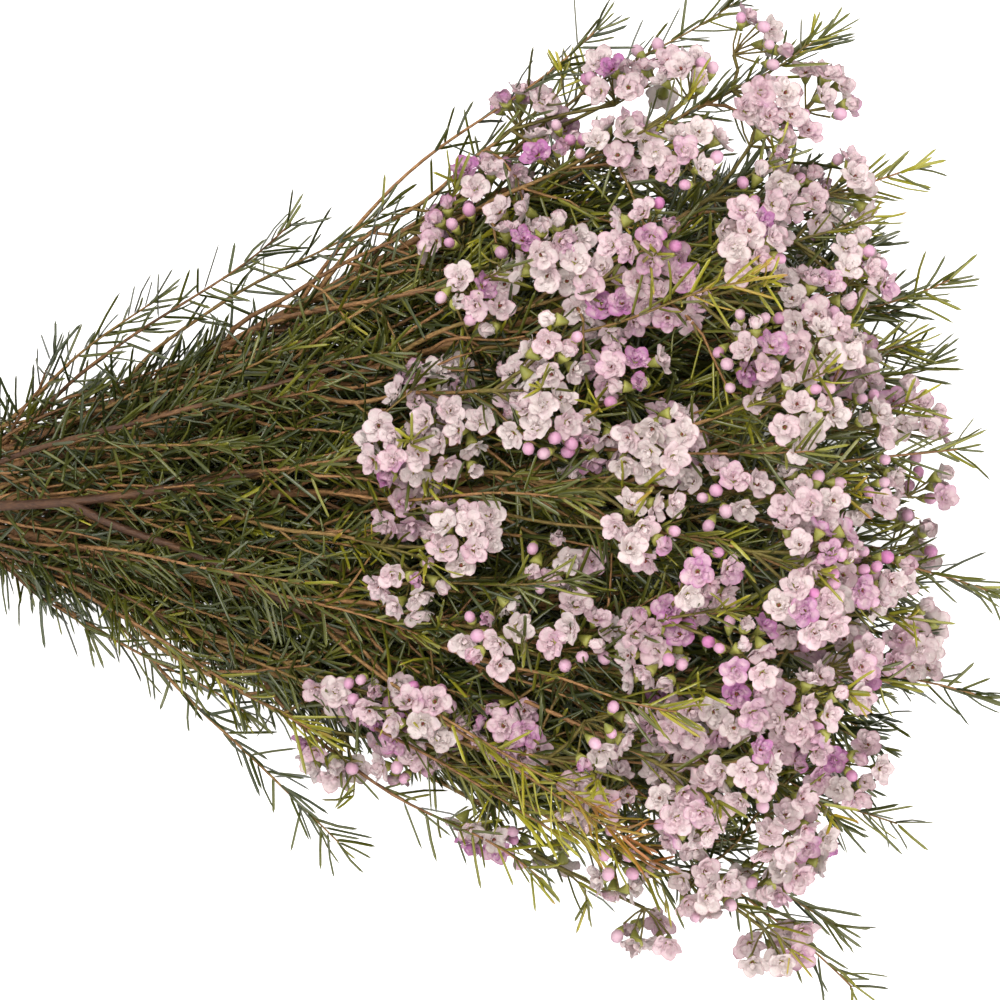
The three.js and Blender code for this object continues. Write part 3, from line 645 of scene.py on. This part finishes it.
def leafed(route, start, end, youth, lean=(1.6, 0.5), step=LEAF_PAIRS, size=1.0):
    """Pairs of leaves along a route, closer together and younger towards its end."""
    pairs = int((end - start) / step)
    if pairs < 1:
        return []
    share = np.repeat(1 - (1 - np.linspace(0, 1, pairs)) ** 1.3, 2)
    pair, side = np.arange(2 * pairs) // 2, np.arange(2 * pairs) % 2
    angles = pair * (np.pi / 2) + side * np.pi + dice.normal(0, 0.5, 2 * pairs) + dice.uniform(0, 6.28)
    places = np.clip(start + (end - start) * share + dice.normal(0, 0.6, 2 * pairs), 0, route.length)
    along, across, _ = route.at(places).T
    over_stem = ((np.abs(across - STEM_BARE_MIDDLE) < STEM_BARE_HALF_WIDTH)
                 & (along > STEM_BARE_FROM) & (along < STEM_BARE_TO))
    kept = dice.random(2 * pairs) < np.where(over_stem, LEAVES_KEPT_OVER_STEM, LEAVES_KEPT)
    share, angles, places = share[kept], angles[kept], places[kept]
    count = len(share)
    ahead = route.way(places)
    leans = np.interp(places / route.length, (0, 1), lean) * dice.uniform(*LEAN_SPREAD, count)
    ways = unit(ahead + spoke(ahead, angles) * leans[:, None] + dice.normal(0, WAY_SPREAD, ahead.shape))
    lengths = dice.uniform(*LEAF_LENGTH, count) * np.interp(share, *TIP_LEAVES) * size
    tints = np.clip(youth * (0.5 + 0.5 * share ** 2) + dice.normal(0.03, 0.15, count), 0, 1.5)
    return leaf_beds(route.at(places), ways, ahead, lengths, tints)


for number, stem in enumerate(stems, 1):
    name = f"stem_{number:02d}"
    beds = [
        still(wood([stem_wood(stem)], 12), bark.material, 0.12),
        still(wood([[(stem.cut - (CUT_DEPTH, 0, 0), CUT_RADIUS), (stem.cut, CUT_RADIUS)]], 12),
              cut_wood.material),
        *(still(wood([twig.wood()], 4), bark.material, twig.tan) for twig in stem.twigs),
    ]
    beds += leafed(stem.route, STEM_LEAVES_FROM, stem.route.length, STEM_YOUTH, step=STEM_LEAVES_STEP)
    for twig in stem.twigs:
        beds += leafed(twig.route, twig.bare, twig.route.length, twig.youth)
    plant(f"{name}_wood_and_leaves", beds, name)


# ---------------------------------------------------------------- flowers
# A double waxflower has five round, cupped outer petals and two ruffles of small inner ones round a dark
# red eye. It sits on a funnel-shaped green cup. A bud is a pink ball in its cup.

PETAL_LENGTH, PETAL_WIDTH, PETAL_THICKNESS = 5.3, 5.5, 0.5
RUFFLE_LENGTH, RUFFLE_WIDTH, RUFFLE_THICKNESS = 3.0, 2.8, 0.4
RING_STARTS = (0.8, 1.7, 0.64)  # radius at which the petals, the outer and the inner ruffle start
# How many petals a ring has, how far they stand up and how unevenly. The first ring is the large petals.
OPEN_RINGS = ((5, 0.18, 0.15), (7, 0.42, 0.3), (5, 0.85, 0.35))
HALF_OPEN_RINGS = ((5, 1.15, 0.15), (5, 1.25, 0.2))
RING_HEIGHT = 0.35  # of one ring over the last
CUP_DEPTH = 4.6
BUD_RADIUS = 2.4

petal_finish = Finish("petals", Roughness=0.6, Sheen_Weight=0.25, Sheen_Roughness=0.6)
blush = petal_finish.tint * (0.6 + petal_finish.rim * 0.5) + (petal_finish.noise(160) - 0.5) * 1.1
blush = blush.held()
pink = (blush * 2).held().mix(colour(238, 226, 225), colour(234, 205, 215))
pink = pink.node("ShaderNodeMix", {"data_type": "RGBA"}, {
    "Factor": (blush * 2 - 1).held(), 6: pink, 7: colour(196, 122, 184)}, 2)
# Near its rim a petal turns a deeper pink-brown in patches: partly its own pink rim, partly a painted shade
# line where petals overlap.
rim_pink_and_shade_line = ((petal_finish.rim - 0.8) * 6).held() * ((petal_finish.noise(350) - 0.3) * 2.5).held()
petal_finish.feed("Base Color", pink.node("ShaderNodeMix", {"data_type": "RGBA"}, {
    "Factor": rim_pink_and_shade_line * 0.8, 6: pink, 7: colour(178, 116, 132)}, 2))
petal_finish.bump(petal_finish.noise(650, 2), 0.75, 0.0008)

eye_finish = Finish("eye", Roughness=0.6)
eye_finish.feed("Base Color", eye_finish.noise(900).mix(colour(92, 30, 34), colour(160, 84, 60)))

cup_finish = Finish("cup", Roughness=0.45)
cup_finish.feed("Base Color", (cup_finish.rim * 0.8 + cup_finish.noise(400) * 0.3).held().mix(
    colour(112, 118, 44), colour(168, 168, 82)))
cup_finish.bump(cup_finish.noise(1200, 0), 0.3, 0.0003)

bud_finish = Finish("bud", Roughness=0.4)
bud_finish.feed("Base Color", (bud_finish.tint + (bud_finish.noise(300) - 0.5) * 0.6).held().mix(
    colour(234, 196, 214), colour(216, 132, 190)))


def petal_form(length, width, thickness, cup, crinkle, segments, rings):
    """A round petal along x with its root at the origin: thin, with a wavy rim that stands up."""
    bpy.ops.mesh.primitive_uv_sphere_add(segments=segments, ring_count=rings, radius=0.5)
    made = bpy.context.object
    for point in made.data.vertices:
        x, y, z = point.co if point.co.z > -0.01 else (0, 0, -0.5)
        out, around = np.hypot(x, y) * 2, np.arctan2(y, x)
        x += 0.5
        narrow = np.interp(x, (0, 0.4, 1), (0.45, 1, 1))
        lift = cup * ((x - 0.3) ** 2 + (1.1 * y * narrow) ** 2) * 2
        wave = crinkle * (np.sin(3 * around + 1) + 0.6 * np.sin(2 * around)) * out ** 2
        point.co = (x * length, y * narrow * width, z * thickness + (lift + wave) * length)
    return Form(joined(made), rim=lambda spots: np.clip(np.hypot(
        spots[:, 0] / length - 0.5, spots[:, 1] / width) * 2, 0, 1))


petal = petal_form(PETAL_LENGTH, PETAL_WIDTH, PETAL_THICKNESS, cup=0.28, crinkle=0.08, segments=10, rings=4)
ruffle = petal_form(RUFFLE_LENGTH, RUFFLE_WIDTH, RUFFLE_THICKNESS, cup=0.4, crinkle=0.16, segments=10,
                    rings=2)


def turned_form(outline, sides=8):
    """A form turned about z: the outline is rows of height and radius."""
    bpy.ops.mesh.primitive_cylinder_add(vertices=sides, radius=1, depth=2)
    made = bpy.context.object
    heights = np.linspace(-1, 1, len(outline))
    bpy.ops.object.mode_set(mode="EDIT")
    for cut in heights[1:-1]:
        bpy.ops.mesh.select_all(action="SELECT")
        bpy.ops.mesh.bisect(plane_co=(0, 0, cut), plane_no=(0, 0, 1))
    bpy.ops.object.mode_set(mode="OBJECT")
    for point in made.data.vertices:
        height, radius = outline[int(np.abs(heights - point.co.z).argmin())]
        point.co = (point.co.x * radius, point.co.y * radius, height)
    low, high = outline[0][0], outline[-1][0]
    return Form(made, rim=lambda spots: (spots[:, 2] - low) / (high - low))


cup = turned_form([(-CUP_DEPTH, 0.45), (-3.4, 1.1), (-1.6, 1.9), (-0.1, 2.35)])
eye = turned_form([(0.0, 0.6), (0.9, 0.55), (1.5, 0.3)], sides=5)

bpy.ops.mesh.primitive_uv_sphere_add(segments=8, ring_count=6, radius=BUD_RADIUS)
bud_ball = bpy.context.object
for point in bud_ball.data.vertices:
    pinch = 0.94 if abs(point.co.x) > abs(point.co.y) else 1.0
    point.co = (point.co.x * pinch, point.co.y * pinch, point.co.z * 1.05 + BUD_RADIUS * 0.75)
bud = Form(bud_ball)


# ---------------------------------------------------------------- flower sprays
# A spray's stalk forks to two umbels, and to a third where it shows from above. From the end of each arm
# six to ten flowers stand out on short stalks, in a dome. They push each other aside where they crowd.

UMBEL_DEPTH = 14.0  # from the fork of the flower stalks to the flowers
UMBEL_OUTWARD, UMBEL_TILT = 0.7, 0.3  # how far one looks out of the bunch, and how unevenly
UMBEL_CAP = 0.9  # how wide the dome opens, in radians from its middle
UMBEL_FACING = 0.45  # how far its flowers turn to face as the umbel does
HANGING, UPRIGHT = -0.75, 1.1  # from the one to the other its flowers turn up to the light less and less
ON_TOP, UNDERNEATH = (8, 11), (6, 8)  # how many flowers in an umbel: the least, and one more than the most
BUD_CHANCES = (0.3, 0.2, 0.2, 0.2, 0.1)  # of none to four buds in an umbel
FLOWER_ROOM = 8.8  # between the centres of two flowers
HALF_ROOMS = (0.31, 0.42, 0.5)  # the share of it that a bud, a half open and an open flower take to a side
PUSHES, PUSH = 60, 0.25
STALK_SHORTEST, STALK_LONGEST = 0.7 * UMBEL_DEPTH, 1.15 * UMBEL_DEPTH
FLOWER_LOWEST, FLOWER_SIZES = 4.5, (0.95, 1.14)
STALK_RADII = (0.42, 0.36, 0.42)  # of a flower's own stalk: at its foot, its bend and its cup
UMBELS_INWARD = 125.0  # beyond this, a spray's third umbel is on the side of the bunch's middle
LOW_UMBEL_ASIDE, LOW_UMBEL_UNDER = 22.0, 15.0  # the place of a spray's third umbel, from between the two
SHOOT_TIPS = spot(0, -174, 4), spot(412, 174, 178)  # the tips of the shoots between the flowers keep inside
GOLDEN = np.pi * (3 - np.sqrt(5))


def outward(place):
    """The way out of the bunch, up the slope of its oval form."""
    def form(along):
        width, height, centre = oval_at(along)
        return (place[1] / width) ** 2 + ((place[2] - centre) / height) ** 2
    step = 5
    width, height, centre = oval_at(place[0])
    slope = (form(place[0] + step) - form(place[0] - step)) / (2 * step)
    return unit(spot(slope, 2 * place[1] / width ** 2, 2 * (place[2] - centre) / height ** 2))


hubs, centres, owners, lookings = [], [], [], []
for number, spray in enumerate(sprays):
    spray.hubs = []
    first, second = spray.centres
    over = outward((first + second) / 2)
    aside = unit(np.cross(second - first, over)) * (1 if number % 2 else -1)
    if aside[1] * first[1] > 0 and abs(first[1]) > UMBELS_INWARD:
        aside = -aside
    low = (first + second) / 2 + aside * LOW_UMBEL_ASIDE - over * LOW_UMBEL_UNDER
    on_top = over[2] > 0
    for centre in (first, second, low) if on_top else (first, second):
        facing = spray.way * (1 - UMBEL_OUTWARD) + outward(centre) * UMBEL_OUTWARD
        facing = unit(facing + dice.normal(0, UMBEL_TILT, 3))
        hub = centre - facing * UMBEL_DEPTH
        hub[2] = max(hub[2], SPRAY_LOWEST)
        spray.hubs.append((hub, facing))
        count = dice.integers(*(ON_TOP if on_top else UNDERNEATH))
        polar = UMBEL_CAP * np.sqrt((np.arange(count) + 0.4) / count)
        around = np.arange(count) * GOLDEN + dice.uniform(0, 6.28)
        rays = facing * np.cos(polar)[:, None] + spoke(facing, around) * np.sin(polar)[:, None]
        hubs.append(np.repeat(hub[None], count, 0))
        centres.append(hub + rays * dice.uniform(0.9, 1.15, (count, 1)) * UMBEL_DEPTH)
        owners.append(np.full(count, number))
        lookings.append(np.repeat(facing[None], count, 0))
hubs, centres, owners, lookings = (np.concatenate(rows) for rows in (hubs, centres, owners, lookings))

# In an umbel the buds stand together on its young side, next to a half open flower.
BUD, HALF_OPEN, OPEN = range(3)
openness = np.full(len(centres), OPEN)
umbels = np.cumsum(np.any(np.diff(hubs, axis=0, prepend=hubs[:1]) != 0, axis=1))
for umbel in range(umbels.max() + 1):
    mine = np.flatnonzero(umbels == umbel)
    young = mine[np.argsort(-(centres[mine] - hubs[mine]) @ dice.normal(0, 1, 3))]
    buds = dice.choice(len(BUD_CHANCES), p=BUD_CHANCES)
    openness[young[:buds]] = BUD
    openness[young[buds:buds + dice.integers(0, 3)]] = HALF_OPEN

room = FLOWER_ROOM * np.array(HALF_ROOMS)[openness]
for _ in range(PUSHES):
    apart = centres[:, None] - centres[None]
    distance = np.linalg.norm(apart, axis=-1) + np.eye(len(centres)) * 1e6
    push = np.clip(room[:, None] + room - distance, 0, None) / distance
    centres = centres + (apart * push[..., None]).sum(1) * PUSH
    away = centres - hubs
    reach = np.linalg.norm(away, axis=-1, keepdims=True)
    centres = hubs + away / reach * np.clip(reach, STALK_SHORTEST, STALK_LONGEST)
    centres[:, 2] = np.maximum(centres[:, 2], FLOWER_LOWEST)

rays = unit(centres - hubs)
rise = np.where(lookings[:, 2] > HANGING, (UPRIGHT - lookings[:, 2]) ** 2, 0)
facings = rays + lookings * UMBEL_FACING + rise[:, None] * spot(0, 0, 1)
facings = unit(facings + dice.normal(0, 0.6, facings.shape))

for number, spray in enumerate(sprays):
    mine = np.flatnonzero(owners == number)
    name = f"spray_{number + 1:02d}"
    courses = [[(spray.foot, 0.85), (spray.fork, 0.8)]]
    for hub, facing in spray.hubs:
        bend = (spray.fork + hub) / 2 + spray.way * 2
        courses.append([(spray.fork, 0.75), (bend, 0.65), (hub, 0.7)])
    petals, ruffles, cups, eyes, buds = [], [], [], [], []
    for k in mine:
        centre, facing, hub = centres[k], facings[k], hubs[k]
        size = dice.uniform(*FLOWER_SIZES)
        # Now and then one is a much deeper pink.
        tint = np.clip(spray.depth * 0.8 + dice.normal(0, 0.2) + (dice.random() < 0.07) * 0.5, 0, 1)
        base = centre - facing * CUP_DEPTH * size
        courses.append(list(zip((hub, (hub + base) / 2 - facing, base + facing * 0.3), STALK_RADII)))
        cups.append((facing, centre, 0.8 if openness[k] == BUD else size))
        if openness[k] == BUD:
            buds.append((facing, centre, dice.uniform(0.85, 1.1), tint))
            continue
        eyes.append((facing, centre, size))
        for ring, (count, lift, spread) in enumerate(OPEN_RINGS if openness[k] == OPEN else HALF_OPEN_RINGS):
            turns = np.arange(count) * 2 * np.pi / count + ring * 0.5 + k + dice.normal(0, 0.08, count)
            lifts = lift + dice.normal(0, spread, count)
            radial = spoke(facing, turns)
            outs = radial * np.cos(lifts)[:, None] + facing * np.sin(lifts)[:, None]
            ups = facing * np.cos(lifts)[:, None] - radial * np.sin(lifts)[:, None]
            ups = unit(ups + np.cross(outs, ups) * dice.normal(0.12, 0.1, (count, 1)))
            feet = centre + radial * RING_STARTS[ring] * size + facing * ring * RING_HEIGHT
            bed = ruffles if ring else petals
            bed.append((outs, ups, feet, size * dice.uniform(0.9, 1.08, count), np.full(count, tint)))
    beds = [still(wood(courses, 4), bark.material, 0.8)]
    for form, rows in ((petal, petals), (ruffle, ruffles)):
        outs, ups, feet, sizes, tints = (np.concatenate(column) for column in zip(*rows))
        axes = axes_of(outs, ups, np.repeat(sizes[:, None], 3, 1))
        beds.append(Bed(form, petal_finish.material, axes, feet, tints))
    for form, finish, rows in ((cup, cup_finish, cups), (eye, eye_finish, eyes)):
        ways, feet, sizes = (np.array(column) for column in zip(*rows))
        axes = axes_of(spoke(ways, np.zeros(len(ways))), ways, np.repeat(sizes[:, None], 3, 1))
        beds.append(Bed(form, finish.material, axes, feet, np.zeros(len(ways))))
    if buds:
        ways, feet, sizes, tints = (np.array(column) for column in zip(*buds))
        axes = axes_of(spoke(ways, np.zeros(len(ways))), ways, np.repeat(sizes[:, None], 3, 1))
        beds.append(Bed(bud, bud_finish.material, axes, feet, tints))

    # A young leafy shoot goes on past the fork, between the flowers.
    middle = sum(spray.centres) / 2
    over = outward(middle)
    tip = middle + over * dice.uniform(2, 12)
    tip = np.clip(tip, *SHOOT_TIPS)
    shoot = Route(spray.fork, spray.fork + spray.way * 10, tip - over * 10, tip)
    beds += leafed(shoot, 6, shoot.length, dice.uniform(0.75, 1.1), lean=(1.2, 0.5), step=3.3, size=0.85)
    places = np.linspace(0, shoot.length, 6)
    shoot_wood = wood([list(zip(shoot.at(places), np.linspace(0.6, 0.3, 6)))], 6)
    beds.append(still(shoot_wood, bark.material, 0.9))
    plant(f"{name}_flowers", beds, name)


# ---------------------------------------------------------------- rubber band
# A plain elastic band, wound three times round the stems.

TURNS = 3
band_finish = Finish("rubber", Roughness=0.5)
band_finish.feed("Base Color", band_finish.noise(300, 3).mix(colour(196, 146, 84), colour(214, 170, 108)))
band_finish.bump(band_finish.noise(2500), 0.2, 0.0002)

half = [(len(tips) - 1) / 2 * STEM_PITCH for tips in STEM_ROWS]
corners = [(half[0], 0), (half[1], 1), (half[2], 2), (-half[2], 2), (-half[1], 1), (-half[0], 0)]
outline = []
offset = STEM_FOOT + GAP + BAND_THICKNESS / 2
for k, (across, row) in enumerate(corners):
    middle = -np.pi / 2 + (k + 0.5) * np.pi / 3
    height = BASE_HEIGHT + row * ROW_HEIGHT
    for angle in np.linspace(middle - np.pi / 6, middle + np.pi / 6, 5):
        outline.append((across + offset * np.cos(angle), height + offset * np.sin(angle)))
curve = bpy.data.curves.new("band", "CURVE")
curve.dimensions = "3D"
curve.bevel_depth = BAND_THICKNESS / 2
curve.bevel_resolution = 3
for turn in range(TURNS):
    for side in (-BAND_THICKNESS / 2, BAND_THICKNESS / 2):
        spline = curve.splines.new("POLY")
        spline.points.add(len(outline) - 1)
        spline.use_cyclic_u = True
        along = (turn - (TURNS - 1) / 2) * BAND_WIDTH / TURNS + side
        for point, (across, height) in zip(spline.points, outline):
            point.co = (along, across, height, 1)
made = bpy.data.objects.new("band", curve)
bpy.context.collection.objects.link(made)
bpy.context.view_layer.objects.active = made
made.select_set(True)
bpy.ops.object.convert(target="MESH")
plant("rubber_band", [still(Form(bpy.context.object), band_finish.material)], "band")


# ---------------------------------------------------------------- the studio
# A white table that glows evenly under soft overhead light, with a painted shade in its glow where the thick
# of the bunch lies over it. The camera looks straight down.

VIEW_CENTRE = spot(248.4, 0, 90)  # in the bunch's own measure
VIEW_WIDTH, VIEW_DISTANCE = 0.36, 2.5  # metres, as are the sizes of the shade on the table
SHADE_FROM, SHADE_OPENING = 0.03, 0.42  # where it starts after the band, and how it opens as the bunch does
SHADE_MIDDLE, SHADE_LENGTH, SHADE_WIDTH = 0.2, 0.2, 0.16  # the oval that rounds it under the head

bpy.ops.mesh.primitive_plane_add(size=8)
floor = bpy.context.object
floor.name = "table"
table_finish = Finish("table", Roughness=0.9)
table_finish.shader.inputs["Base Color"].default_value = (0.9, 0.9, 0.9, 1)
along, across = (table_finish.place.node("ShaderNodeSeparateXYZ", None, {"Vector": table_finish.place}, k)
                 - float(BAND_PLACE[k]) for k in (0, 1))
# Painted shade: the table's white glow goes dark in a soft wedge, rounded by an oval, under the bunch.
fan = (along - SHADE_FROM) * SHADE_OPENING - across.math("ABSOLUTE", across)
ahead, aside = (along - SHADE_MIDDLE) * (1 / SHADE_LENGTH), across * (1 / SHADE_WIDTH)
oval = 1 - ahead * ahead - aside * aside
shade = (fan * 45).held() * (oval * 3).held()
table_finish.feed("Emission Color", shade.mix((1, 1, 1, 1), (0, 0, 0, 1)))
table_finish.shader.inputs["Emission Strength"].default_value = 0.8
floor.data.materials.append(table_finish.material)
floor.visible_diffuse = floor.visible_glossy = False  # it throws no light up into the bunch

world = bpy.data.worlds.new("studio")
bpy.context.scene.world = world
world.use_nodes = True
world.node_tree.nodes["Background"].inputs["Color"].default_value = (1, 1, 1, 1)
world.node_tree.nodes["Background"].inputs["Strength"].default_value = 1.0
world.cycles_visibility.diffuse = False  # the soft boxes give all the light

for name, place, size, power in (
        ("key", (-0.9, 1.1, 2.2), 1.2, 35), ("top", (0.4, -0.3, 2.8), 3.4, 68),
        ("right", (3.0, -1.0, 0.9), 2.0, 58), ("left", (-3.0, -1.0, 0.9), 2.0, 18),
        ("near", (0.4, -3.0, 0.8), 2.0, 42), ("far", (0.4, 3.0, 0.8), 2.0, 34)):
    lamp = bpy.data.lights.new(name, "AREA")
    lamp.size = size
    lamp.energy = power
    lamp.color = (1, 0.965, 0.93)
    light = bpy.data.objects.new(name, lamp)
    bpy.context.collection.objects.link(light)
    light.location = place
    light.rotation_mode = "QUATERNION"
    light.rotation_quaternion = light.location.to_track_quat("Z", "Y")
    light.visible_camera = False

camera = bpy.data.objects.new("camera", bpy.data.cameras.new("camera"))
bpy.context.collection.objects.link(camera)
looked_at = VIEW_CENTRE * MM + BAND_PLACE
camera.location = (looked_at[0], looked_at[1], looked_at[2] + VIEW_DISTANCE)
camera.data.lens = camera.data.sensor_width * VIEW_DISTANCE / VIEW_WIDTH
camera.data.clip_end = 20
bpy.context.scene.camera = camera
bpy.context.scene.view_settings.view_transform = "Standard"
